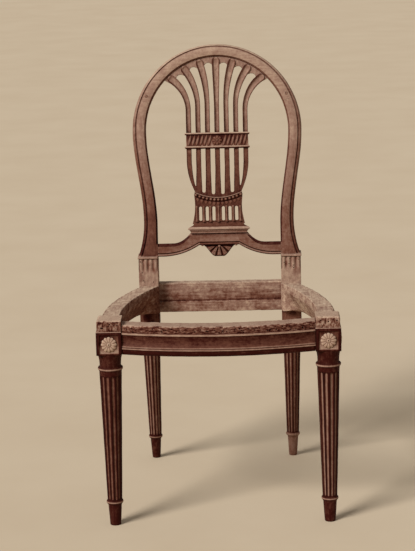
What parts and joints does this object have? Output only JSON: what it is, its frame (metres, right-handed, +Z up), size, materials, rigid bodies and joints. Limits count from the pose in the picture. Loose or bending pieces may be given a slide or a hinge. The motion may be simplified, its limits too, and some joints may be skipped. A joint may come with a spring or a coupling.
{
  "type": "side chair frame",
  "caption": "Louis XVI balloon-back side chair frame in joined wood, with turned fluted legs, a bowed seat frame and a pierced fan splat, bare of its upholstery.",
  "frame": {"origin": "on the floor, below the middle of the chair's bounding box", "axes": "+Z up, -Y towards the front of the chair, +X to the right as seen from the front"},
  "size_m": [0.4888, 0.5235, 0.9217],
  "materials": {
    "stained_wood": "old dark stain and wax over beech, rubbed pale on the edges",
    "bare_wood": "raw unfinished beech, rough and dusty, with old tack holes",
    "carved_wood": "carved beech with the stain worn off its high places",
    "peg_wood": "end grain of a trimmed wooden peg"
  },
  "bodies": {
    "root": {"front_leg_left": "stained_wood", "front_leg_right": "stained_wood", "rear_leg_left": "stained_wood", "rear_leg_right": "stained_wood", "crest_rail": "stained_wood", "back_bottom_rail": "stained_wood", "splat": "stained_wood", "front_seat_rail": "stained_wood", "side_seat_rail_left": "bare_wood", "side_seat_rail_right": "bare_wood", "rear_seat_rail": "bare_wood", "front_rosette_left": "carved_wood", "front_rosette_right": "carved_wood", "side_rosette_left": "carved_wood", "side_rosette_right": "carved_wood", "crest_peg_left": "peg_wood", "crest_peg_right": "peg_wood", "bottom_rail_peg_left": "peg_wood", "bottom_rail_peg_right": "peg_wood", "front_rail_peg_left": "peg_wood", "front_rail_peg_right": "peg_wood", "side_rail_front_peg_left": "peg_wood", "side_rail_front_peg_right": "peg_wood", "side_rail_rear_peg_left_lower": "peg_wood", "side_rail_rear_peg_left_upper": "peg_wood", "side_rail_rear_peg_right_lower": "peg_wood", "side_rail_rear_peg_right_upper": "peg_wood", "rear_rail_peg_left_lower": "peg_wood", "rear_rail_peg_left_upper": "peg_wood", "rear_rail_peg_right_lower": "peg_wood", "rear_rail_peg_right_upper": "peg_wood"}
  },
  "joints": []
}
